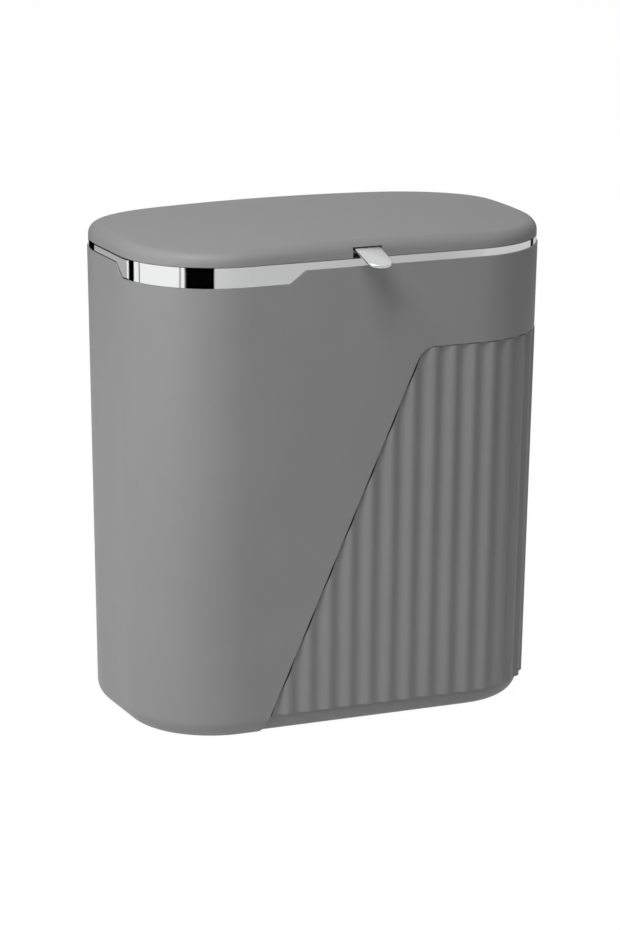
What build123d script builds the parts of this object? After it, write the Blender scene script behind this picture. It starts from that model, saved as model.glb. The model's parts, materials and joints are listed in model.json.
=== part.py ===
from build123d import *
import math
import os

# Wall-mounted kitchen waste bin: a drafted plastic shell with a fluted inlay at the front right,
# a lift-off rim that clamps the bag, a plated band round the rim, a crowned flip lid with a finger
# tab, and a dovetail bracket on the wall that the bin hangs from.
# Sizes are millimetres. +X is to the right seen from the front, the front faces -Y and +Z is up.
# The origin is the centre of the bracket's four screw holes, on the wall.

# Shell
bin_width = 270.0
bin_depth = 160.0
corner_radius = 59.0
shell_height = 285.0
edge_height = 70.0  # from the centre of the wall holes up to the shell's top edge
draft_angle = 1.0
shell_wall = 2.5
floor_thickness = 2.6
base_radius = 12.0

# Bay for the fluted inlay, measured from the bin's centre line and underside
bay_depth = 3.0
bay_top = 232.5
bay_foot_x = -64.5  # where the slanted edge meets the underside's level
bay_lean = 66.3
bay_corner_radius = 12.0
bay_back = 20.0  # rear edge on the right end, behind the bin's middle

# Fluted inlay
flute_pitch = 13.2
flute_phase = 8.4  # one groove lies this far right of the middle
flute_proud = 0.3
groove_depth = 2.2
panel_foot = 12.0  # underside of the bin to the flutes' lower ends
panel_gap = 0.45
seat_gap = 0.1

# Step in the shell's top edge, round the front left corner
step_drop = 7.5
step_front_x = -39.9  # top end of the slope on the front
step_side_y = -15.8  # top end of the slope on the left end, from the bin's middle
step_run = 9.8
step_round = 2.5
step_gap = 0.2

# Band and rim
band_height = 4.6
band_inset = 0.7
band_thickness = 1.2
rim_land = 12.0  # from the shell's outline in to the mouth
rim_plate = 1.8
rim_wall = 2.0
rim_lip_depth = 8.0
skirt_depth = 22.0
skirt_gap = 0.4

# Lid
lid_inset = 0.65
lid_gap = 0.3
lid_wall = 2.0
lid_edge_height = 10.0
lid_edge_radius = 6.8
lid_crown = 4.6
liner_thickness = 1.5
liner_gap = 1.0
seal_width = 3.5
seal_inset = 8.0
seal_gap = 0.2
buffer_radius = 1.8
buffer_inset = 5.8
buffer_x = 70.0
boss_radius = 3.2
boss_inset = 20.0  # from the shell's outline in to the bosses
boss_x = 50.0  # along the front and the back

# Hinge
hinge_inset = 3.6  # from the lid's rear face in to the pin
hinge_height = 4.6  # from the rim up to the pin
hinge_spacing = 120.0
knuckle_length = 24.0
knuckle_radius = 3.0
knuckle_gap = 0.4
ear_length = 5.0
pin_radius = 1.25
pin_clearance = 0.05

# Finger tab
tab_height = 6.3  # top of the tab's root over the rim
tab_reach = 22.5
tab_drop = 6.8
tab_root_width = 18.0
tab_tip_width = 14.5
tab_tip_radius = 5.0
tab_thickness = 2.0
tab_root = 1.0  # from the shell's front in to the bend
tab_tongue = 20.0  # flat part inside the lid
tab_bend_radius = 3.0
tab_screw_spacing = 10.0
notch_gap = 0.5

# Wall bracket and hanger
pad_thickness = 1.0
bracket_width = 128.0
bracket_height = 62.0
bracket_plate = 3.0
bracket_radius = 8.0
wall_hole_spacing_x = 108.0
wall_hole_spacing_z = 40.0
wall_hole_radius = 2.3
wall_sink_radius = 4.4
tongue_height = 44.0
tongue_foot_width = 60.0
tongue_top_width = 50.0
tongue_depth = 5.0
dovetail_angle = 20.0
hanger_gap = 0.4
hanger_width = 94.0
hanger_height = 60.0
hanger_web = 2.2
hanger_radius = 8.0

# Spacers that hold the foot of the bin off the wall
spacer_inset = 69.0  # from the shell's ends in to the spacers
spacer_height = 30.0
spacer_radius = 9.0
spacer_pad_radius = 7.5
spacer_pad_depth = 2.0
wall_clearance = 0.3

# Screws
screw_radius = 1.75
screw_head_radius = 3.5
screw_head_height = 2.2
screw_clearance = 0.1
washer_radius = 4.5
washer_thickness = 0.8
screw_bite = 5.0  # length of thread in the piece that it holds
lid_screw_radius = 1.2
lid_screw_head_radius = 2.6
lid_screw_head_height = 1.1
tab_screw_bite = 1.6
slot_width = 0.9
edge_round = 0.8

# Worked out from the sizes above
draft = math.tan(math.radians(draft_angle))
wall_gap = pad_thickness + bracket_plate + tongue_depth + hanger_gap + hanger_web
middle_y = -(wall_gap + bin_depth / 2)
edge_z = edge_height
floor_z = edge_z - shell_height
rim_z = edge_z + band_height
lid_z = rim_z + lid_gap
ring_inset = band_inset + band_thickness
skirt_inset = shell_wall + skirt_gap
hinge_y = middle_y + bin_depth / 2 - lid_inset - hinge_inset
hinge_z = rim_z + hinge_height
front_y = middle_y - bin_depth / 2
bend_radius = corner_radius - groove_depth
bend_start = bin_width / 2 - corner_radius
bend_end = bend_start + bend_radius * math.pi / 2
plate_front = pad_thickness + bracket_plate
liner_top = rim_z + tab_height - tab_thickness
stand = (Align.CENTER, Align.CENTER, Align.MIN)
spacer_x = bin_width / 2 - spacer_inset
far = bin_width  # a length that clears the whole bin


def outline(inset, z):
    """The bin's outline in plan at a height, drawn in by inset and by the draft."""
    drawn_in = inset + (edge_z - z) * draft
    shape = RectangleRounded(bin_width - 2 * drawn_in, bin_depth - 2 * drawn_in, corner_radius - drawn_in)
    return Pos(0, middle_y, z) * shape


def drafted(inset, low, high):
    """A solid of the bin's drafted outline between two heights."""
    return loft([outline(inset, low), outline(inset, high)], ruled=True)


def rounded(inset, low, high, radius):
    """A drafted solid with its lower edge rounded."""
    body = drafted(inset, low, high)
    return fillet(body.faces().sort_by(Axis.Z)[0].edges(), radius)


def upright(inset, low, high):
    """A solid of the outline at the shell's top edge, with no draft."""
    return extrude(Pos(0, 0, low - edge_z) * outline(inset, edge_z), high - low)


def block(x, y, z):
    """A box between pairs of low and high coordinates."""
    size = Box(x[1] - x[0], y[1] - y[0], z[1] - z[0], align=(Align.MIN, Align.MIN, Align.MIN))
    return Pos(x[0], y[0], z[0]) * size


def rod(radius, x):
    """A cylinder on the hinge axis between two places along X."""
    shape = Cylinder(radius, x[1] - x[0], align=(Align.CENTER, Align.CENTER, Align.MIN))
    return Pos(x[0], hinge_y, hinge_z) * Rot(0, 90, 0) * shape


def bay(grow):
    """The zone of the fluted inlay: slanted at the left, square at the top, and open below."""
    lean = math.tan(math.radians(bay_lean))
    shift = grow / math.sin(math.radians(bay_lean))
    low = -base_radius
    top = bay_top + grow
    corners = [
        (bay_foot_x - shift + low / lean, low),
        (bay_foot_x - shift + top / lean, top),
        (far, top),
        (far, low),
    ]
    face = make_face(Polyline(*corners, close=True))
    corner = face.vertices().sort_by_distance((corners[1][0], corners[1][1], 0))[0]
    face = fillet(corner, bay_corner_radius + grow)
    front = Plane(origin=(0, middle_y + bay_back + grow, floor_z), x_dir=(1, 0, 0), z_dir=(0, -1, 0))
    return extrude(front * face, far)


def step_profile(start, drop):
    """What lies above the edge, seen from one side: level, then down a rounded slope at start."""
    points = [(far, 0), (start, 0), (start - step_run, -drop), (-far, -drop), (-far, far), (far, far)]
    face = make_face(Polyline(*points, close=True))
    ends = [face.vertices().sort_by_distance((x, z, 0))[0] for x, z in points[1:3]]
    return fillet(ends, step_round)


def above_edge(gap):
    """The zone above the shell's top edge, with the step down round the front left corner."""
    from_front = Plane(origin=(0, middle_y + far, edge_z), x_dir=(1, 0, 0), z_dir=(0, -1, 0))
    from_side = Plane(origin=(-far, middle_y, edge_z), x_dir=(0, 1, 0), z_dir=(1, 0, 0))
    front = extrude(from_front * step_profile(step_front_x + gap, step_drop + gap), 2 * far)
    side = extrude(from_side * step_profile(step_side_y + gap, step_drop + gap), 2 * far)
    return front & side


def make_shell():
    """The bin's body: drafted, open at the top, with a bay for the inlay and a stepped edge."""
    inlay_bay = bay(0) - rounded(bay_depth, floor_z, edge_z + 2, base_radius)
    outside = rounded(0, floor_z, edge_z + 1, base_radius) - inlay_bay
    floor_top = floor_z + floor_thickness
    inner_radius = base_radius - shell_wall
    behind_bay = bay(shell_wall) - rounded(shell_wall + bay_depth, floor_top, edge_z + 3, inner_radius)
    hollow = rounded(shell_wall, floor_top, edge_z + 2, inner_radius) - behind_bay
    shell = outside - hollow - above_edge(step_gap)
    for place in hanger_screw_places() + spacer_screw_places():
        shell -= place * Cylinder(screw_radius + screw_clearance, 6 * shell_wall)
    return shell


def bend_turn(along):
    """How far round the front right corner a place on the outline is, as an angle."""
    return min(max((along - bend_start) / bend_radius, 0), math.pi / 2)


def path_direction(along):
    """The outline's direction at a place on the front, the corner or the right end."""
    turn = bend_turn(along)
    return (math.cos(turn), math.sin(turn))


def path_point(along, out, inset):
    """A point on the front, corner or right end: along the outline from the middle, out from the skin."""
    turn = bend_turn(along)
    reach = corner_radius - inset + out
    x = min(along, bend_start) + reach * math.sin(turn)
    y = middle_y - bin_depth / 2 + corner_radius - reach * math.cos(turn) + max(along - bend_end, 0)
    return (x, y)


def flute_edge(groove, inset):
    """One round flute of the inlay's section, from groove to groove."""
    swing = (flute_proud + groove_depth) / 2
    points = []
    for quarter in range(5):
        out = flute_proud - swing - swing * math.cos(quarter * math.pi / 2)
        points.append(path_point(groove + quarter * flute_pitch / 4, out, inset))
    ends = [path_direction(groove), path_direction(groove + flute_pitch)]
    return Spline(*points, tangents=ends)


def fluted_face(z):
    """The inlay's section at a height: round flutes outside, smooth behind."""
    inset = (edge_z - z) * draft
    first = math.floor((bay_foot_x - flute_phase) / flute_pitch)
    last = math.ceil((bend_end + bin_depth / 2 - corner_radius + bay_back - flute_phase) / flute_pitch)
    start = flute_phase + first * flute_pitch
    end = flute_phase + last * flute_pitch
    back = -(bay_depth - seat_gap)
    inside = [path_point(along, back, inset) for along in (start, bend_start, bend_end, end)]
    bend_middle = path_point((bend_start + bend_end) / 2, back, inset)
    edges = [flute_edge(flute_phase + index * flute_pitch, inset) for index in range(first, last)]
    edges += [
        Line(edges[-1] @ 1, inside[3]),
        Line(inside[3], inside[2]),
        ThreePointArc(inside[2], bend_middle, inside[1]),
        Line(inside[1], inside[0]),
        Line(inside[0], edges[0] @ 0),
    ]
    return Pos(0, 0, z) * make_face(edges)


def make_panel():
    """The fluted inlay, cut to the slanted bay with a narrow gap round it."""
    sections = [fluted_face(floor_z + panel_foot), fluted_face(floor_z + bay_top)]
    return loft(sections, ruled=True) & bay(-panel_gap)


def ring(outer, inner, low, high):
    """A hoop between two insets and two heights, at the bin's draft."""
    return drafted(outer, low, high) - drafted(inner, low - 1, high + 1)


def make_band():
    """The bright band: narrow round the rim, deep round the front left corner."""
    return ring(band_inset, ring_inset, edge_z - 2 * step_drop, rim_z) & above_edge(0)


def hinge_middles():
    """The two places of the hinge along X."""
    return [-hinge_spacing / 2, hinge_spacing / 2]


def make_rim():
    """The lift-off rim: a channel open below, a skirt inside the shell, and the hinge knuckles."""
    collar = ring(ring_inset, skirt_inset + rim_wall, edge_z - 2 * step_drop, rim_z) & above_edge(0)
    skirt = ring(skirt_inset, skirt_inset + rim_wall, edge_z - skirt_depth, edge_z)
    plate = upright(ring_inset + edge_round, rim_z - rim_plate, rim_z) - upright(rim_land, edge_z, rim_z + 1)
    lip = upright(rim_land - rim_wall, rim_z - rim_lip_depth, rim_z)
    lip -= upright(rim_land, edge_z - rim_lip_depth, rim_z + 1)
    rim = collar + skirt + plate + lip
    for middle in hinge_middles():
        span = (middle - knuckle_length / 2, middle + knuckle_length / 2)
        foot = block(span, (hinge_y - knuckle_radius, hinge_y + knuckle_radius), (rim_z, hinge_z))
        rim += foot + rod(knuckle_radius, span)
        rim -= rod(pin_radius + pin_clearance, span)
    return rim


def lid_form(inset):
    """The lid's crowned form with its rounded edge, drawn in on all sides."""
    top = rim_z + lid_edge_height + lid_crown - inset
    across = (bin_depth / 2) ** 2 / (2 * lid_crown)
    along = (bin_width / 2) ** 2 / (2 * lid_crown)
    fall = along - math.sqrt(along**2 - bin_width**2)
    arch = ThreePointArc((-bin_width, -fall), (0, 0), (bin_width, -fall))
    sides = Polyline((bin_width, -fall), (bin_width, -across / 2), (-bin_width, -across / 2), (-bin_width, -fall))
    upright_plane = Plane(origin=(0, middle_y, top), x_dir=(1, 0, 0), z_dir=(0, -1, 0))
    axis = Axis((0, middle_y, top - across), (1, 0, 0))
    swing = math.degrees(bin_depth / across)
    crown = revolve((upright_plane * make_face(arch + sides)).rotate(axis, -swing), axis, 2 * swing)
    body = upright(lid_inset + inset, edge_z, top + 1) & crown
    top_edges = body.edges().filter_by(lambda edge: edge.center().Z > rim_z)
    return fillet(top_edges, lid_edge_radius - inset)


def boss_places():
    """Where the liner is screwed to the lid, in plan."""
    x = bin_width / 2 - boss_inset
    y = bin_depth / 2 - boss_inset
    plan = [(-x, 0), (x, 0), (-boss_x, -y), (boss_x, -y), (-boss_x, y), (boss_x, y)]
    return [(across, middle_y + back) for across, back in plan]


def tab_screw_places():
    """Where the finger tab is screwed down on the liner, in plan."""
    y = front_y + tab_tongue - lid_screw_head_radius
    return [(-tab_screw_spacing / 2, y), (tab_screw_spacing / 2, y)]


def make_lid():
    """The lid: a thin crowned cover with screw bosses and hinge ears, notched for tab and knuckles."""
    inside = lid_form(lid_wall)
    lid = lid_form(0) - inside - upright(-1, edge_z - 1, lid_z)
    for x, y in boss_places():
        boss = Pos(x, y, liner_top) * Cylinder(boss_radius, lid_edge_height, align=stand)
        lid += boss & lid_form(lid_wall / 2)
        lid -= Pos(x, y, liner_top) * Cylinder(lid_screw_radius, tab_screw_bite * 2, align=stand)
    relief = block((-far, far), (hinge_y, 0), (edge_z, hinge_z)) - rod(hinge_height - lid_gap, (-far, far))
    lid -= relief
    for middle in hinge_middles():
        half = knuckle_length / 2 + knuckle_gap
        reach = knuckle_radius + knuckle_gap
        lid -= block((middle - half, middle + half), (hinge_y - reach, 0), (edge_z, hinge_z + reach))
        for span in ear_spans(middle):
            depth = (hinge_y - knuckle_radius, hinge_y + knuckle_radius)
            web = block(span, depth, (hinge_z, hinge_z + lid_edge_height)) & lid_form(lid_wall / 2)
            lid += web + rod(knuckle_radius, span)
            lid -= rod(pin_radius + pin_clearance, span)
    half = tab_root_width / 2 + notch_gap
    top = rim_z + tab_height + notch_gap
    lid -= block((-half, half), (front_y - 1, front_y + lid_edge_radius), (edge_z, top))
    return lid


def ear_spans(middle):
    """The two lid ears beside a knuckle, along X."""
    near = knuckle_length / 2 + knuckle_gap
    return [(middle - near - ear_length, middle - near), (middle + near, middle + near + ear_length)]


def make_liner():
    """The flat plate that closes the lid from below."""
    inset = lid_inset + lid_wall + liner_gap
    liner = upright(inset, liner_top - liner_thickness, liner_top)
    half = knuckle_length / 2 + 2 * knuckle_gap + ear_length
    near = hinge_y - knuckle_radius - knuckle_gap
    for middle in hinge_middles():
        liner -= block((middle - half, middle + half), (near, 0), (rim_z, hinge_z))
    for x, y in boss_places() + tab_screw_places():
        liner -= Pos(x, y, liner_top) * Cylinder(lid_screw_radius + screw_clearance, 3 * liner_thickness)
    return liner


def make_seal():
    """The soft ring under the liner that closes on the rim."""
    low = rim_z + seal_gap
    high = liner_top - liner_thickness
    return upright(seal_inset, low, high) - upright(seal_inset + seal_width, low - 1, high + 1)


def make_buffers():
    """The two small stops near the liner's front that land on the rim when the lid closes."""
    low = rim_z + seal_gap
    stop = Cylinder(buffer_radius, liner_top - liner_thickness - low, align=stand)
    return [Pos(x, front_y + buffer_inset, low) * stop for x in (-buffer_x, buffer_x)]


def make_pins():
    """The two hinge pins, each through a knuckle and its ears."""
    half = knuckle_length / 2 + knuckle_gap + ear_length
    return [rod(pin_radius, (middle - half, middle + half)) for middle in hinge_middles()]


def make_tab():
    """The finger tab: flat inside the lid, then sloping out and down through the notch."""
    root = front_y + tab_root
    tip = front_y - tab_reach
    top = rim_z + tab_height
    side = [(front_y + tab_tongue, top), (root, top), (tip, top - tab_drop)]
    side += [(y, z - tab_thickness) for y, z in reversed(side)]
    profile = Plane.YZ * make_face(Polyline(*side, close=True))
    bends = [vertex for vertex in profile.vertices() if abs(vertex.Y - root) < tab_root / 2]
    tab = extrude(fillet(bends, tab_bend_radius), tab_root_width, both=True)
    wide = tab_root_width / 2
    narrow = tab_tip_width / 2
    plan = [(-wide, side[0][0]), (-wide, root), (-narrow, tip), (narrow, tip), (wide, root), (wide, side[0][0])]
    face = make_face(Polyline(*plan, close=True))
    corners = [vertex for vertex in face.vertices() if abs(vertex.Y - tip) < tab_root]
    face = fillet(corners, tab_tip_radius)
    tab = tab & extrude(Pos(0, 0, edge_z) * face, far)
    for x, y in tab_screw_places():
        hole = Cylinder(lid_screw_radius, 2 * tab_screw_bite)
        tab -= Pos(x, y, liner_top) * hole
    return tab


def screw(radius, length, head_radius, head_height):
    """A pan-head screw with a cross recess, its head upwards and its seat at the origin."""
    head = Cylinder(head_radius, head_height, align=stand)
    head = fillet(head.faces().sort_by(Axis.Z)[-1].edges(), head_height / 3)
    for angle in (0, 90):
        slot = Box(head_radius * 1.2, slot_width, head_height, align=(Align.CENTER, Align.CENTER, Align.MIN))
        head -= Pos(0, 0, head_height / 2) * Rot(0, 0, angle) * slot
    return head + Cylinder(radius, length, align=(Align.CENTER, Align.CENTER, Align.MAX))


def lid_screws(places, bite):
    """Small screws driven up through the liner."""
    seat = liner_top - liner_thickness
    small = screw(lid_screw_radius, liner_thickness + bite, lid_screw_head_radius, lid_screw_head_height)
    return [Pos(x, y, seat) * Rot(180, 0, 0) * small for x, y in places]


def back_skin(z):
    """Where the shell's back face lies at a height."""
    return -wall_gap - (edge_z - z) * draft


def rear_place(x, z):
    """A place on the inside of the back wall, square to it and facing into the bin."""
    origin = (x, back_skin(z) - shell_wall, z)
    return Plane(origin=origin, x_dir=(1, 0, 0), z_dir=(0, -1, draft)).location


def hanger_screw_places():
    """The four screws that hold the hanger on the shell's back."""
    x = tongue_foot_width / 2 + (hanger_width - tongue_foot_width) / 4 + tongue_depth / 4
    z = hanger_height / 2 - hanger_radius - screw_radius
    return [rear_place(across, up) for across in (-x, x) for up in (-z, z)]


def spacer_screw_places():
    """The two screws that hold the foot's spacers."""
    return [rear_place(across, floor_z + spacer_height) for across in (-spacer_x, spacer_x)]


def rear_screws(places):
    """Screws driven from inside the bin through a washer and its back wall."""
    length = washer_thickness + shell_wall + screw_bite
    one = Pos(0, 0, washer_thickness) * screw(screw_radius, length, screw_head_radius, screw_head_height)
    return [place * one for place in places]


def rear_washers(places):
    """A washer under each screw's head, on the inside of the back wall."""
    one = Cylinder(washer_radius, washer_thickness, align=stand)
    one -= Cylinder(screw_radius + screw_clearance, 3 * washer_thickness)
    return [place * one for place in places]


def dovetail(gap, low, high):
    """The wedge of the bracket: wider away from the wall and narrower towards the top."""
    sections = []
    for out in (0, tongue_depth + gap):
        spread = gap + out * math.tan(math.radians(dovetail_angle))
        corners = []
        for z in (low, high):
            share = z / tongue_height + 0.5
            half = (tongue_foot_width + share * (tongue_top_width - tongue_foot_width)) / 2 + spread
            corners += [(-half, z), (half, z)]
        corners = [corners[0], corners[1], corners[3], corners[2]]
        plane = Plane(origin=(0, -plate_front - out, 0), x_dir=(1, 0, 0), z_dir=(0, -1, 0))
        sections.append(plane * make_face(Polyline(*corners, close=True)))
    return loft(sections, ruled=True)


def plate(width, height, radius, near, far_side):
    """A plate with round corners, parallel to the wall, between two distances from it."""
    plane = Plane(origin=(0, -near, 0), x_dir=(1, 0, 0), z_dir=(0, -1, 0))
    return extrude(plane * RectangleRounded(width, height, radius), far_side - near)


def wall_holes(distance):
    """Places of the four screw holes, at a distance from the wall and facing away from it."""
    plane = Plane(origin=(0, -distance, 0), x_dir=(1, 0, 0), z_dir=(0, -1, 0))
    return [plane.location * place for place in GridLocations(wall_hole_spacing_x, wall_hole_spacing_z, 2, 2)]


def make_pad():
    """The thin foam pad between the bracket and the wall."""
    pad = plate(bracket_width, bracket_height, bracket_radius, 0, pad_thickness)
    for place in wall_holes(0):
        pad -= place * Cylinder(wall_hole_radius, 3 * pad_thickness)
    return pad


def make_bracket():
    """The wall bracket: a plate with countersunk holes and a dovetail tongue."""
    bracket = plate(bracket_width, bracket_height, bracket_radius, pad_thickness, plate_front)
    bracket = fillet(bracket.faces().sort_by(Axis.Y)[0].outer_wire().edges(), edge_round)
    bracket += dovetail(0, -tongue_height / 2, tongue_height / 2)
    sink = wall_sink_radius - wall_hole_radius
    for place in wall_holes(plate_front):
        bracket -= place * Cylinder(wall_hole_radius, 3 * bracket_plate)
        bracket -= place * Pos(0, 0, -sink / 2) * Cone(wall_hole_radius, wall_sink_radius, sink)
    return bracket


def make_hanger():
    """The hanger on the bin's back, with a pocket that drops over the bracket's tongue."""
    hanger = plate(hanger_width, hanger_height, hanger_radius, plate_front + hanger_gap, bin_depth / 2)
    hanger -= drafted(0, -hanger_height, hanger_height)
    hanger -= dovetail(hanger_gap, -hanger_height, tongue_height / 2 + hanger_gap)
    for place in hanger_screw_places():
        hanger -= place * Cylinder(screw_radius, 2 * (shell_wall + screw_bite))
    return hanger


def spacer_blank(radius, near, far_side):
    """Two discs parallel to the wall, between two distances from it, at the foot of the bin."""
    plane = Plane(origin=(0, -near, floor_z + spacer_height), x_dir=(1, 0, 0), z_dir=(0, -1, 0))
    return [extrude(plane * Pos(x, 0) * Circle(radius), far_side - near) for x in (-spacer_x, spacer_x)]


def make_spacers():
    """The two stand-offs at the foot of the back, cut to its slope."""
    spacers = []
    near = wall_clearance + spacer_pad_depth
    for blank, place in zip(spacer_blank(spacer_radius, near, bin_depth / 2), spacer_screw_places()):
        spacer = blank - drafted(0, floor_z, edge_z)
        spacer -= place * Cylinder(screw_radius, 2 * (shell_wall + screw_bite))
        spacers.append(spacer)
    return spacers


def make_spacer_pads():
    """The soft faces of the stand-offs, just clear of the wall."""
    return spacer_blank(spacer_pad_radius, wall_clearance, wall_clearance + spacer_pad_depth)


def save(name, shape):
    """Write one piece, or a group of like pieces, under its name."""
    if isinstance(shape, list):
        shape = Compound(children=[Solid(one.solid().wrapped) for one in shape])
    export_step(shape, "parts/" + name + ".step")


os.makedirs("parts", exist_ok=True)
save("wall_bracket", make_bracket())
save("bracket_pad", make_pad())
save("bin_shell", make_shell())
save("fluted_panel", make_panel())
save("hanger_plate", make_hanger())
save("hanger_screws", rear_screws(hanger_screw_places()))
save("wall_spacers", make_spacers())
save("spacer_pads", make_spacer_pads())
save("spacer_screws", rear_screws(spacer_screw_places()))
save("screw_washers", rear_washers(hanger_screw_places() + spacer_screw_places()))
save("rim_frame", make_rim())
save("chrome_band", make_band())
save("lid_shell", make_lid())
save("lid_liner", make_liner())
save("lid_seal", make_seal())
save("lid_buffers", make_buffers())
save("hinge_pins", make_pins())
save("liner_screws", lid_screws(boss_places(), 2 * tab_screw_bite))
save("finger_tab", make_tab())
save("tab_screws", lid_screws(tab_screw_places(), tab_screw_bite))
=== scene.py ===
"""Wall-mounted waste bin: finishes, two modelled pieces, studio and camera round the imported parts."""
import json
import math

import bpy
from mathutils import Matrix, Vector


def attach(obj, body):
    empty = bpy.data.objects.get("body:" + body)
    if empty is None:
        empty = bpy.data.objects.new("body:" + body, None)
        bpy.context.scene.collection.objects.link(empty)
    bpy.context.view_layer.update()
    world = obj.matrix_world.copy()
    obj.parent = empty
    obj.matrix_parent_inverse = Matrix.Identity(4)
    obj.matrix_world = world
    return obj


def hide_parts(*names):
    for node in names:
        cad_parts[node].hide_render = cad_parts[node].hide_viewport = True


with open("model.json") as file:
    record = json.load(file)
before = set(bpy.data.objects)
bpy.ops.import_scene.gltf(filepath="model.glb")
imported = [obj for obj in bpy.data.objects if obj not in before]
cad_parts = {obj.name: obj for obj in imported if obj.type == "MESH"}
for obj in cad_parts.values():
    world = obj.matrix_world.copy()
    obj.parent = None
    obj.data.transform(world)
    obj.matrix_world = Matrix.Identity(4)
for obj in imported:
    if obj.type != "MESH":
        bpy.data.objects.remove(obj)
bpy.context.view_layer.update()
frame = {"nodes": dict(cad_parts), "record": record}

# Sizes and places of the bin, in metres
BIN_WIDTH = 0.270
BIN_DEPTH = 0.160
MIDDLE_Y = -0.0916
SHELL_HEIGHT = 0.285
EDGE_Z = 0.070
FLOOR_Z = EDGE_Z - SHELL_HEIGHT
FRONT_Y = MIDDLE_Y - BIN_DEPTH / 2
DRAFT = math.tan(math.radians(1.0))
CORNER_RADIUS = 0.059
CORNER_X = BIN_WIDTH / 2 - CORNER_RADIUS
CORNER_Y = FRONT_Y + CORNER_RADIUS

# Bay of the fluted inlay: a slanted front edge, a rounded top corner and a rear edge on the right end
BAY_FOOT_X = -0.0645
BAY_LEAN = math.radians(66.3)
BAY_TOP = FLOOR_Z + 0.2325
BAY_DEPTH = 0.003
BAY_ROUND = 0.012
BAY_REAR_Y = MIDDLE_Y + 0.020

# Painted shadow: a dark line in the gap along the slanted edge, where shade falls, and how far it fades
SEAM_MIDDLE = 0.0004
SEAM_HALF_WIDTH = 0.00045
SEAM_FADE = 0.00012
SEAM_DEPTH_FADE = 0.0003
SEAM_LOW = FLOOR_Z + 0.006
SEAM_LOW_FADE = 0.002
SEAM_HIGH = 0.0125
SEAM_HIGH_FADE = 0.0015

# Bright band, the step in the shell's edge under it, and the painted dark reflections along its edges at the
# left end, standing in for the dark body edge and gap the band mirrors there
BAND_TOP = EDGE_Z + 0.0046
STEP_DROP = 0.0075
STEP_TOP_Y = MIDDLE_Y - 0.0158
STEP_FOOT_Y = STEP_TOP_Y - 0.0098
LINE_WIDTH = 0.0006
LINE_FADE = 0.0001
LINED_TO_X = -0.1
LINED_X_FADE = 0.01
LINED_FROM_Y = -0.1245
LINED_Y_FADE = 0.0007

# Sockets of the Mix node when it mixes colours
MIX_LOW = 6
MIX_HIGH = 7
MIX_RESULT = 2

# How strongly the plastic mirrors what is in front of it, how dark the painted shadow in a gap is, and how
# dark the painted reflection along the band's edges is
PLASTIC_SHEEN = 0.35
GAP_SHADOW_LEVEL = 0.008
EDGE_REFLECTION_LEVEL = 0.01


class Amount:
    """A number that varies over a surface; sums on it add the nodes that work it out."""

    def __init__(self, finish, socket):
        self.finish = finish
        self.socket = socket

    def sum(self, operation, first, second, clamp=False):
        settings = {"operation": operation, "use_clamp": clamp}
        return self.finish.node("ShaderNodeMath", settings, {0: first, 1: second})

    def __add__(self, other):
        return self.sum("ADD", self, other)

    def __radd__(self, other):
        return self.sum("ADD", other, self)

    def __sub__(self, other):
        return self.sum("SUBTRACT", self, other)

    def __rsub__(self, other):
        return self.sum("SUBTRACT", other, self)

    def __mul__(self, other):
        return self.sum("MULTIPLY", self, other)

    def __rmul__(self, other):
        return self.sum("MULTIPLY", other, self)

    def clamped(self):
        return self.sum("ADD", self, 0.0, clamp=True)

    def size(self):
        return self.sum("ABSOLUTE", self, 0.0)


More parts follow.
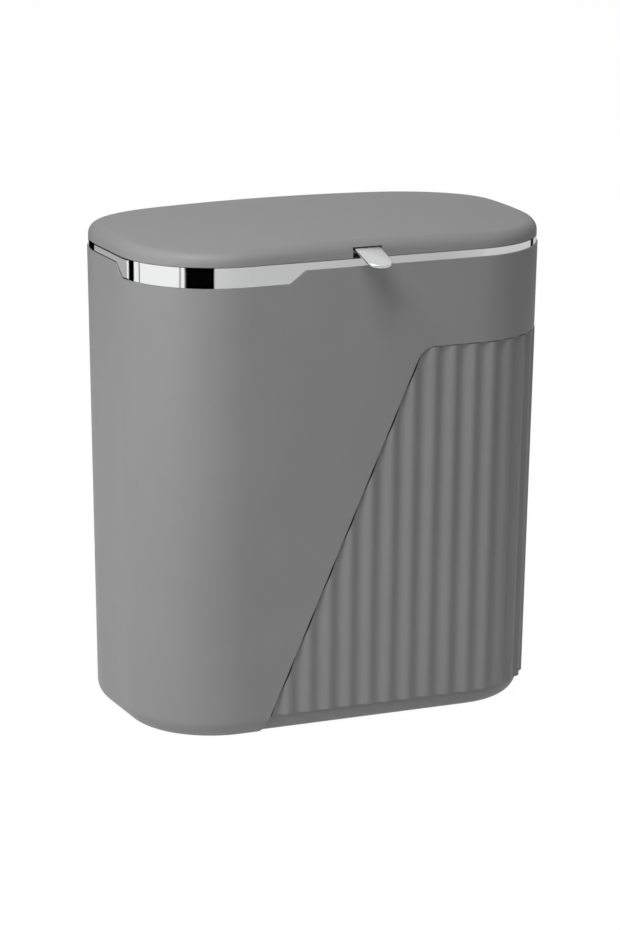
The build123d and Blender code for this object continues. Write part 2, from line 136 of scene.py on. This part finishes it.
class Finish:
    """One material, or the world's light, built node by node."""

    def __init__(self, name, tree=None):
        if tree is None:
            self.material = bpy.data.materials.new(name)
            self.material.use_nodes = True
            tree = self.material.node_tree
        self.tree = tree
        self.tree.nodes.clear()

    def node(self, kind, settings, values, out=0):
        """A node with its settings, then the values or links of its sockets; what it gives is returned."""
        made = self.tree.nodes.new(kind)
        for name, value in settings.items():
            if name == "stops":
                self.set_stops(made.color_ramp, value)
            else:
                setattr(made, name, value)
        for name, value in values.items():
            if isinstance(value, Amount):
                self.tree.links.new(value.socket, made.inputs[name])
            else:
                made.inputs[name].default_value = value
        return Amount(self, made.outputs[out]) if made.outputs else None

    @staticmethod
    def set_stops(ramp, stops):
        first, *between, last = stops
        for element, (where, colour) in zip(ramp.elements, (first, last)):
            element.position = where
            element.color = (*colour, 1.0)
        for where, colour in between:
            ramp.elements.new(where).color = (*colour, 1.0)

    def place(self):
        return self.node("ShaderNodeTexCoord", {}, {}, out="Object")

    def axes(self):
        """The place on the object as three amounts."""
        parts = self.node("ShaderNodeSeparateXYZ", {}, {"Vector": self.place()}).socket.node.outputs
        return [Amount(self, parts[axis]) for axis in ("X", "Y", "Z")]

    def stretched(self, scale):
        """The place on the object, with each direction scaled by its own number."""
        return self.node("ShaderNodeMapping", {}, {"Vector": self.place(), "Scale": scale})

    def noise(self, scale, detail=2.0, roughness=0.5, place=None):
        place = place or self.place()
        values = {"Vector": place, "Scale": scale, "Detail": detail, "Roughness": roughness}
        return self.node("ShaderNodeTexNoise", {}, values)

    def cells(self, scale):
        return self.node("ShaderNodeTexVoronoi", {}, {"Vector": self.place(), "Scale": scale}, out="Distance")

    def tint(self, amount, low, high):
        """A colour between two, by an amount from 0 to 1; the low one may vary by itself."""
        low = low if isinstance(low, Amount) else (*low, 1.0)
        values = {0: amount, MIX_LOW: low, MIX_HIGH: (*high, 1.0)}
        return self.node("ShaderNodeMix", {"data_type": "RGBA"}, values, out=MIX_RESULT)

    def spread(self, amount, from_low, from_high, low=0.0, high=1.0):
        """An amount carried from one range to another, and kept inside it."""
        values = {0: amount, 1: from_low, 2: from_high, 3: low, 4: high}
        return self.node("ShaderNodeMapRange", {"clamp": True}, values)

    def bump(self, height, distance, under=None):
        values = {"Height": height, "Distance": distance}
        if under is not None:
            values["Normal"] = under
        return self.node("ShaderNodeBump", {}, values)

    def surface(self, **values):
        """The shader, joined to the output."""
        sockets = {name.replace("_", " "): value for name, value in values.items()}
        shader = self.node("ShaderNodeBsdfPrincipled", {}, sockets)
        self.node("ShaderNodeOutputMaterial", {}, {"Surface": shader})
        return self.material


def grey(level, warm=0.0):
    """A grey by its level, with a little more red and less blue where warm is above 0."""
    return (level * (1 + warm), level, level * (1 - warm))


def drawn_in(height):
    """How far the outline at a height lies inside the one at the shell's edge."""
    return (EDGE_Z - height) * DRAFT


def seam_painted_shadow(made, reach):
    """How much painted shadow darkens the gap beside the fluted inlay, from 0 to 1, down to a reach below the
    skin.
    """
    x, y, z = made.axes()
    beside = (x - BAY_FOOT_X) * math.sin(BAY_LEAN) - (z - FLOOR_Z) * math.cos(BAY_LEAN)
    off = (beside - SEAM_MIDDLE).size()
    line = made.spread(off, SEAM_HALF_WIDTH, SEAM_HALF_WIDTH + SEAM_FADE, 1.0, 0.0)
    skin = made.spread(y - FRONT_Y - drawn_in(z), reach, reach + SEAM_DEPTH_FADE, 1.0, 0.0)
    above = made.spread(z, SEAM_LOW, SEAM_LOW + SEAM_LOW_FADE)
    below = made.spread(z, SEAM_HIGH - SEAM_HIGH_FADE, SEAM_HIGH, 1.0, 0.0)
    return line * skin * (above * below)


def moulded_plastic(name, level, grain, gloss, seam_shadow=0.0):
    """Injection-moulded plastic: a fine spark-eroded grain, faint clouding and handling scuffs."""
    made = Finish(name)
    cloud = made.noise(scale=9.0, detail=3.0, roughness=0.6)
    fine = made.noise(scale=1400.0)
    scuff = made.noise(scale=160.0, detail=4.0, roughness=0.7, place=made.stretched((1.0, 1.0, 0.12)))
    rubbed = made.spread(scuff, 0.62, 0.72)
    shade = made.spread(cloud * 0.7 + fine * 0.3, 0.35, 0.65)
    colour = made.tint(shade, grey(level * 0.965), grey(level * 1.035))
    # Painted shadow: the gap beside the fluted inlay is darkened in the colour, where shade falls
    if seam_shadow:
        colour = made.tint(seam_painted_shadow(made, seam_shadow), colour, grey(GAP_SHADOW_LEVEL))
    roughness = made.spread(cloud, 0.3, 0.7, gloss - 0.03, gloss + 0.03) - rubbed * 0.05
    pits = made.cells(scale=1.0 / grain)
    wave = made.noise(scale=22.0, detail=1.0)
    normal = made.bump(wave, distance=0.00035)
    normal = made.bump(pits * 0.6 + fine * 0.4, distance=grain * 0.035, under=normal)
    return made.surface(
        Base_Color=colour, Roughness=roughness, Normal=normal, Specular_IOR_Level=PLASTIC_SHEEN,
    )


def painted_edge_reflection(made):
    """Painted dark reflection along the band's upper and lower edges round the left end, standing in for the
    dark body edge and gap it mirrors, from 0 to 1.
    """
    x, y, z = made.axes()
    lower = made.spread(y, STEP_FOOT_Y, STEP_TOP_Y, EDGE_Z - STEP_DROP, EDGE_Z)
    under = made.spread(z - lower, LINE_WIDTH, LINE_WIDTH + LINE_FADE, 1.0, 0.0)
    over = made.spread(z, BAND_TOP - LINE_WIDTH - LINE_FADE, BAND_TOP - LINE_WIDTH)
    leftward = made.spread(x, LINED_TO_X, LINED_TO_X + LINED_X_FADE, 1.0, 0.0)
    rearward = made.spread(y, LINED_FROM_Y, LINED_FROM_Y + LINED_Y_FADE)
    return (under + over).clamped() * (leftward * rearward)


def plated_chrome(name, level, blur, wobble, dark_edge_reflection=False):
    """Plated plastic: a mirror with a trace of flow in the moulding below and hairline marks."""
    made = Finish(name)
    flow = made.noise(scale=35.0, detail=1.0)
    haze = made.noise(scale=420.0, detail=3.0, roughness=0.6)
    hairs = made.noise(scale=2600.0, place=made.stretched((0.04, 0.04, 1.0)))
    marks = made.spread(hairs, 0.66, 0.74)
    colour = made.tint(haze, grey(level * 0.97, warm=-0.004), grey(level, warm=-0.004))
    # Painted reflection: dark lines along the band's edges at the left end, where it mirrors the dark body
    # edge and gap
    if dark_edge_reflection:
        colour = made.tint(painted_edge_reflection(made), colour, grey(EDGE_REFLECTION_LEVEL))
    roughness = made.spread(haze, 0.3, 0.7, blur * 0.85, blur * 1.2) + marks * 0.04
    normal = made.bump(flow, distance=wobble)
    return made.surface(Base_Color=colour, Metallic=1.0, Roughness=roughness, Normal=normal)


def soft_rubber(name, level):
    """Dark rubber with a dusty bloom."""
    made = Finish(name)
    dust = made.noise(scale=300.0, detail=4.0, roughness=0.65)
    bloom = made.spread(dust, 0.45, 0.75)
    colour = made.tint(bloom, grey(level), grey(level * 1.5))
    roughness = made.spread(dust, 0.3, 0.7, 0.62, 0.8)
    normal = made.bump(made.noise(scale=1800.0), distance=0.00003)
    return made.surface(Base_Color=colour, Roughness=roughness, Normal=normal)


def closed_foam(name, level):
    """Foam with small closed bubbles."""
    made = Finish(name)
    bubbles = made.cells(scale=1600.0)
    colour = made.tint(bubbles, grey(level * 0.7), grey(level * 1.25))
    normal = made.bump(bubbles, distance=0.0002)
    return made.surface(Base_Color=colour, Roughness=0.9, Normal=normal)


def zinc_steel(name, level):
    """Zinc-plated steel, drawn lengthwise, with cooler and warmer spots."""
    made = Finish(name)
    drawn = made.noise(scale=2200.0, detail=3.0, place=made.stretched((1.0, 0.08, 1.0)))
    spots = made.noise(scale=700.0, detail=3.0, roughness=0.6)
    colour = made.tint(spots, (level * 0.92, level * 0.94, level), (level, level * 0.99, level * 0.95))
    roughness = made.spread(drawn, 0.3, 0.7, 0.24, 0.42)
    normal = made.bump(drawn, distance=0.00001)
    return made.surface(Base_Color=colour, Metallic=1.0, Roughness=roughness, Normal=normal)


# The painted shadow in the gap goes just below the floor of the bay on the shell, and covers only the ridges
# of the inlay
SHELL_SEAM_SHADOW = BAY_DEPTH + 0.0004
INLAY_SEAM_SHADOW = 0.0011

shell_grey = moulded_plastic("shell_grey", level=0.235, grain=0.0011, gloss=0.5)
front_grey_seam_shadow = moulded_plastic("front_grey_seam_shadow", level=0.235, grain=0.0011, gloss=0.5, seam_shadow=SHELL_SEAM_SHADOW)
inlay_grey_seam_shadow = moulded_plastic("inlay_grey_seam_shadow", level=0.228, grain=0.0011, gloss=0.5, seam_shadow=INLAY_SEAM_SHADOW)
inner_grey = moulded_plastic("inner_grey", level=0.19, grain=0.0016, gloss=0.42)
bracket_grey = moulded_plastic("bracket_grey", level=0.17, grain=0.0014, gloss=0.46)
bright_chrome_edge_reflection = plated_chrome("bright_chrome_edge_reflection", level=0.86, blur=0.03, wobble=0.00003, dark_edge_reflection=True)
satin_chrome = plated_chrome("satin_chrome", level=0.62, blur=0.28, wobble=0.00002)
seal_rubber = soft_rubber("seal_rubber", level=0.05)
pad_foam = closed_foam("pad_foam", level=0.1)
screw_steel = zinc_steel("screw_steel", level=0.62)

FINISH_OF_SLOT = {
    "body_plastic": shell_grey,
    "inner_plastic": inner_grey,
    "bracket_plastic": bracket_grey,
    "chrome": bright_chrome_edge_reflection,
    "rubber": seal_rubber,
    "foam": pad_foam,
    "steel": screw_steel,
}
FINISH_OF_NODE = {"bin_shell": front_grey_seam_shadow}

slot_of_node = {part["node"]: part["material_slot"] for part in frame["record"]["subparts"]}
for name, piece in frame["nodes"].items():
    finish = FINISH_OF_NODE.get(name, FINISH_OF_SLOT[slot_of_node[name]])
    for place in piece.material_slots:
        place.material = finish


# How far past a line a vertex may lie and still be chosen with it: at an end, and at a bend
NEAR = 0.001
TINY = 0.00001


def choose(piece, wanted):
    """Select, in edit mode, the vertices whose place passes a test."""
    bpy.ops.mesh.select_all(action="DESELECT")
    bpy.ops.object.mode_set(mode="OBJECT")
    for vertex in piece.data.vertices:
        vertex.select = wanted(vertex.co)
    bpy.ops.object.mode_set(mode="EDIT")


def settle():
    """Make the chosen object's place, turn and scale part of its mesh."""
    bpy.ops.object.transform_apply(location=True, rotation=True, scale=True)


# Finger tab: a satin plate with soft edges, bent down where it leaves the lid
TAB_INNER_Y = FRONT_Y + 0.020
TAB_OUTER_Y = FRONT_Y - 0.0234
TAB_TOP = EDGE_Z + 0.0109
TAB_THICKNESS = 0.002
TAB_ROOT_WIDTH = 0.018
TAB_TIP_SHARE = 0.86
TAB_TIP_ROUND = 0.0068
TAB_EDGE_ROUND = 0.0008
TAB_BENDS = [FRONT_Y + 0.002, FRONT_Y]
TAB_BEND_ANGLE = math.radians(8.05)
TAB_SHARP = math.radians(50.0)
TAB_SMOOTH = math.radians(35.0)


def make_tab():
    """The tab, which rides on the lid in place of the plainer packed one."""
    bpy.ops.object.select_all(action="DESELECT")
    middle = (0.0, (TAB_INNER_Y + TAB_OUTER_Y) / 2, TAB_TOP)
    bpy.ops.mesh.primitive_plane_add(size=1.0, location=middle)
    tab = bpy.context.object
    tab.name = "tab_plate"
    tab.scale = (TAB_ROOT_WIDTH, TAB_INNER_Y - TAB_OUTER_Y, 1.0)
    settle()
    bpy.ops.object.mode_set(mode="EDIT")
    bpy.ops.mesh.select_mode(type="VERT")
    choose(tab, lambda place: place.y < TAB_OUTER_Y + NEAR)
    bpy.ops.transform.resize(value=(TAB_TIP_SHARE, 1.0, 1.0))
    bpy.ops.mesh.bevel(offset=TAB_TIP_ROUND, segments=10, affect="VERTICES")
    for bend in TAB_BENDS:
        bpy.ops.mesh.select_all(action="SELECT")
        bpy.ops.mesh.bisect(plane_co=(0.0, bend, TAB_TOP), plane_no=(0.0, 1.0, 0.0))
    bpy.ops.mesh.select_all(action="SELECT")
    bpy.ops.mesh.extrude_region_move(TRANSFORM_OT_translate={"value": (0.0, 0.0, -TAB_THICKNESS)})
    bpy.ops.mesh.select_all(action="SELECT")
    bpy.ops.mesh.normals_make_consistent(inside=False)
    for bend in reversed(TAB_BENDS):
        choose(tab, lambda place: place.y < bend + TINY)
        pivot = (0.0, bend, TAB_TOP)
        bpy.ops.transform.rotate(value=-TAB_BEND_ANGLE, orient_axis="X", center_override=pivot)
    bpy.ops.mesh.select_all(action="DESELECT")
    bpy.ops.mesh.select_mode(type="EDGE")
    bpy.ops.mesh.edges_select_sharp(sharpness=TAB_SHARP)
    bpy.ops.mesh.bevel(offset=TAB_EDGE_ROUND, segments=4, affect="EDGES")
    bpy.ops.object.mode_set(mode="OBJECT")
    bpy.ops.object.select_all(action="DESELECT")
    tab.select_set(True)
    bpy.ops.object.shade_smooth_by_angle(angle=TAB_SMOOTH)
    tab.data.materials.append(satin_chrome)
    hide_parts("finger_tab")
    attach(tab, "lid")


# Fluted inlay: a thin waved sheet, tapered, bent round the corner and cut to its bay
FLUTE_PITCH = 0.0132
FLUTE_PHASE = 0.0121
FLUTE_PROUD = 0.0003
FLUTE_DEPTH = 0.0018
FLUTE_STEPS = 12
FLUTE_COLUMNS = 255
FLUTES_LEFT = 6.5
BEND_RADIUS = CORNER_RADIUS - 0.0022
PANEL_GAP = 0.00045
PANEL_LOW = FLOOR_Z + 0.012
PANEL_HIGH = BAY_TOP - PANEL_GAP
PANEL_REAR_Y = BAY_REAR_Y - PANEL_GAP
PANEL_ROUND = BAY_ROUND - PANEL_GAP
PANEL_ROUND_CUTS = 8
PANEL_SHEET = 0.0007
PANEL_SMOOTH = math.radians(40.0)
QUARTER = math.radians(90.0)


def inlay_cuts():
    """Planes that trim the inlay: its rear edge, then its top, rounded corner and slanted edge."""
    middle_z = PANEL_HIGH - PANEL_ROUND
    lean_reach = PANEL_GAP + PANEL_ROUND + (middle_z - FLOOR_Z) * math.cos(BAY_LEAN)
    middle_x = BAY_FOOT_X + lean_reach / math.sin(BAY_LEAN)
    cuts = [((0.0, PANEL_REAR_Y, 0.0), (0.0, 1.0, 0.0))]
    for count in range(PANEL_ROUND_CUTS + 1):
        turn = QUARTER + BAY_LEAN * count / PANEL_ROUND_CUTS
        away = (math.cos(turn), 0.0, math.sin(turn))
        cuts.append(((middle_x + PANEL_ROUND * away[0], 0.0, middle_z + PANEL_ROUND * away[2]), away))
    return cuts


def make_inlay():
    """The inlay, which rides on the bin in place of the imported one."""
    column = FLUTE_PITCH / FLUTE_STEPS
    start = FLUTE_PHASE - FLUTES_LEFT * FLUTE_PITCH - CORNER_X
    length = FLUTE_COLUMNS * column
    bpy.ops.object.select_all(action="DESELECT")
    bpy.ops.mesh.primitive_grid_add(
        x_subdivisions=FLUTE_COLUMNS, y_subdivisions=1, size=1.0, rotation=(QUARTER, 0.0, 0.0),
    )
    inlay = bpy.context.object
    inlay.name = "waved_inlay"
    inlay.scale = (length, PANEL_HIGH - PANEL_LOW, 1.0)
    inlay.location = (start + length / 2, 0.0, (PANEL_LOW + PANEL_HIGH) / 2)
    settle()
    bpy.ops.object.mode_set(mode="EDIT")
    bpy.ops.mesh.select_mode(type="VERT")
    swing = (FLUTE_PROUD + FLUTE_DEPTH) / 2
    for step in range(FLUTE_STEPS):
        turn = math.cos(2 * math.pi * (step / FLUTE_STEPS + 0.5))
        out = FLUTE_PROUD - swing - swing * turn
        choose(inlay, lambda place: round((place.x - start) / column) % FLUTE_STEPS == step)
        bpy.ops.transform.translate(value=(0.0, -out, 0.0))
    for level in (PANEL_LOW, PANEL_HIGH):
        choose(inlay, lambda place: abs(place.z - level) < NEAR)
        bpy.ops.transform.translate(value=(0.0, BEND_RADIUS - CORNER_RADIUS + drawn_in(level), 0.0))
    bpy.ops.object.mode_set(mode="OBJECT")
    bend = inlay.modifiers.new("corner", "SIMPLE_DEFORM")
    bend.deform_method = "BEND"
    bend.deform_axis = "Z"
    bend.angle = QUARTER
    bend.limits = (-start / length, (BEND_RADIUS * QUARTER - start) / length)
    bpy.ops.object.modifier_apply(modifier=bend.name)
    inlay.location = (CORNER_X, CORNER_Y - BEND_RADIUS, 0.0)
    settle()
    bpy.ops.object.mode_set(mode="EDIT")
    for place, away in inlay_cuts():
        bpy.ops.mesh.select_all(action="SELECT")
        bpy.ops.mesh.bisect(plane_co=place, plane_no=away, clear_outer=True)
    bpy.ops.object.mode_set(mode="OBJECT")
    sheet = inlay.modifiers.new("sheet", "SOLIDIFY")
    sheet.thickness = PANEL_SHEET
    sheet.offset = -1.0
    bpy.ops.object.modifier_apply(modifier=sheet.name)
    bpy.ops.object.shade_smooth_by_angle(angle=PANEL_SMOOTH)
    inlay.data.materials.append(inlay_grey_seam_shadow)
    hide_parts("fluted_panel")
    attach(inlay, "bin")


make_tab()
make_inlay()

# Studio: pale world and floor that look white, cards that only mirrors see, and three lamps
WHITE = (1.0, 1.0, 1.0, 1.0)
WORLD_LEVEL = 0.168
FLOOR_SIZE = 16.0
FLOOR_GAP = 0.0002
FLOOR_GREY = (*grey(0.8), 1.0)
FLOOR_GLOW = 1.045
FLOOR_COVER = 0.94
CARD_RADIUS = 1.2
CARD_HEIGHT = 1.1
# Where each card begins round the bin, in degrees from the front, and how bright it is
CARDS = [
    (-180.0, 0.0), (-157.0, 0.0), (-156.0, 0.47), (-134.0, 0.47), (-133.5, 1.0), (-131.0, 1.0), (-130.0, 0.0),
    (-120.5, 0.0), (-119.5, 1.0), (-112.6, 1.0), (-112.0, 0.15), (-111.0, 0.15), (-110.4, 1.0), (-60.0, 1.0),
    (-59.4, 0.2), (-58.4, 0.2), (-57.6, 1.0), (-54.2, 1.0), (-53.2, 0.0), (-22.0, 0.0), (-21.0, 0.68),
    (2.0, 0.62), (20.0, 0.585), (24.0, 0.55), (27.8, 0.53), (28.3, 0.66), (106.0, 0.66), (109.5, 0.0),
    (116.0, 0.0), (119.0, 0.6), (140.0, 0.6),
]
LAMP_AIM = Vector((0.0, MIDDLE_Y, -0.05))
# Each lamp's name, place, width in metres and power in watts
LAMPS = [
    ("above", (-0.6, -0.6, 1.2), 0.9, 17.0),
    ("near", (-0.62, -0.42, 0.12), 0.35, 1.05),
    ("left", (-1.2, 0.25, 0.1), 0.8, 2.7),
]


def seen_directly(finish):
    """1 for what the camera, a mirror or glass sees, and 0 for light on its way to a surface."""
    path = finish.tree.nodes.new("ShaderNodeLightPath")
    kinds = ("Is Camera Ray", "Is Glossy Ray", "Is Transmission Ray")
    camera_ray, glossy_ray, glass_ray = (Amount(finish, path.outputs[kind]) for kind in kinds)
    return (camera_ray + glossy_ray + glass_ray).clamped()


def make_world():
    world = bpy.data.worlds.new("studio")
    world.use_nodes = True
    bpy.context.scene.world = world
    sky = Finish("studio", world.node_tree)
    level = sky.spread(seen_directly(sky), 0.0, 1.0, WORLD_LEVEL, 1.0)
    light = sky.node("ShaderNodeBackground", {}, {"Color": WHITE, "Strength": level})
    sky.node("ShaderNodeOutputWorld", {}, {"Surface": light})


def make_floor():
    bpy.ops.object.select_all(action="DESELECT")
    bpy.ops.mesh.primitive_plane_add(size=FLOOR_SIZE, location=(0.0, 0.0, FLOOR_Z - FLOOR_GAP))
    floor = bpy.context.object
    floor.name = "studio_floor"
    pale = Finish("studio_floor")
    lit = pale.node("ShaderNodeBsdfDiffuse", {}, {"Color": FLOOR_GREY})
    white = pale.node("ShaderNodeEmission", {}, {"Color": WHITE, "Strength": FLOOR_GLOW})
    cover = seen_directly(pale) * FLOOR_COVER
    shown = pale.node("ShaderNodeMixShader", {}, {0: cover, 1: lit, 2: white})
    pale.node("ShaderNodeOutputMaterial", {}, {"Surface": shown})
    floor.data.materials.append(pale.material)


def make_cards():
    bpy.ops.object.select_all(action="DESELECT")
    bpy.ops.mesh.primitive_cylinder_add(
        vertices=128, radius=CARD_RADIUS, depth=CARD_HEIGHT, end_fill_type="NOTHING",
        location=(0.0, MIDDLE_Y, FLOOR_Z + CARD_HEIGHT / 2),
    )
    cards = bpy.context.object
    cards.name = "studio_cards"
    settle()
    board = Finish("studio_cards")
    across, depth, _ = board.axes()
    angle = across.sum("ARCTAN2", across, MIDDLE_Y - depth)
    share = angle * (0.5 / math.pi) + 0.5
    stops = [((degrees + 180.0) / 360.0, grey(level)) for degrees, level in CARDS]
    ramp = board.node("ShaderNodeValToRGB", {"stops": stops}, {0: share})
    glow = board.node("ShaderNodeEmission", {}, {"Color": ramp, "Strength": 1.0})
    board.node("ShaderNodeOutputMaterial", {}, {"Surface": glow})
    cards.data.materials.append(board.material)
    cards.visible_camera = False
    cards.visible_diffuse = False
    cards.visible_transmission = False
    cards.visible_shadow = False


def make_lamp(name, spot, size, power):
    data = bpy.data.lights.new(name, "AREA")
    data.shape = "DISK"
    data.size = size
    data.energy = power
    lamp = bpy.data.objects.new(name, data)
    lamp.location = spot
    lamp.rotation_euler = (LAMP_AIM - Vector(spot)).to_track_quat("-Z", "Y").to_euler()
    bpy.context.scene.collection.objects.link(lamp)


# Camera, found from the outline in the picture
CAMERA_TARGET = Vector((0.00219, -0.0840, -0.07198))
CAMERA_AZIMUTH = math.radians(-23.867)
CAMERA_ELEVATION = math.radians(14.186)
CAMERA_ROLL = math.radians(0.42)
CAMERA_DISTANCE = 2.371
CAMERA_LENS = 148.14
SENSOR_WIDTH = 36.0


def make_camera():
    level_reach = math.cos(CAMERA_ELEVATION)
    back = Vector((
        math.sin(CAMERA_AZIMUTH) * level_reach,
        -math.cos(CAMERA_AZIMUTH) * level_reach,
        math.sin(CAMERA_ELEVATION),
    ))
    level_right = Vector((0.0, 0.0, 1.0)).cross(back).normalized()
    level_up = back.cross(level_right)
    right = level_right * math.cos(CAMERA_ROLL) + level_up * math.sin(CAMERA_ROLL)
    up = level_up * math.cos(CAMERA_ROLL) - level_right * math.sin(CAMERA_ROLL)
    data = bpy.data.cameras.new("camera")
    data.lens = CAMERA_LENS
    data.sensor_width = SENSOR_WIDTH
    camera = bpy.data.objects.new("camera", data)
    camera.rotation_mode = "QUATERNION"
    camera.rotation_quaternion = Matrix((right, up, back)).transposed().to_quaternion()
    camera.location = CAMERA_TARGET + back * CAMERA_DISTANCE
    bpy.context.scene.collection.objects.link(camera)
    bpy.context.scene.camera = camera


make_world()
make_floor()
make_cards()
for name, spot, size, power in LAMPS:
    make_lamp(name, spot, size, power)
make_camera()
bpy.context.scene.view_settings.view_transform = "Standard"
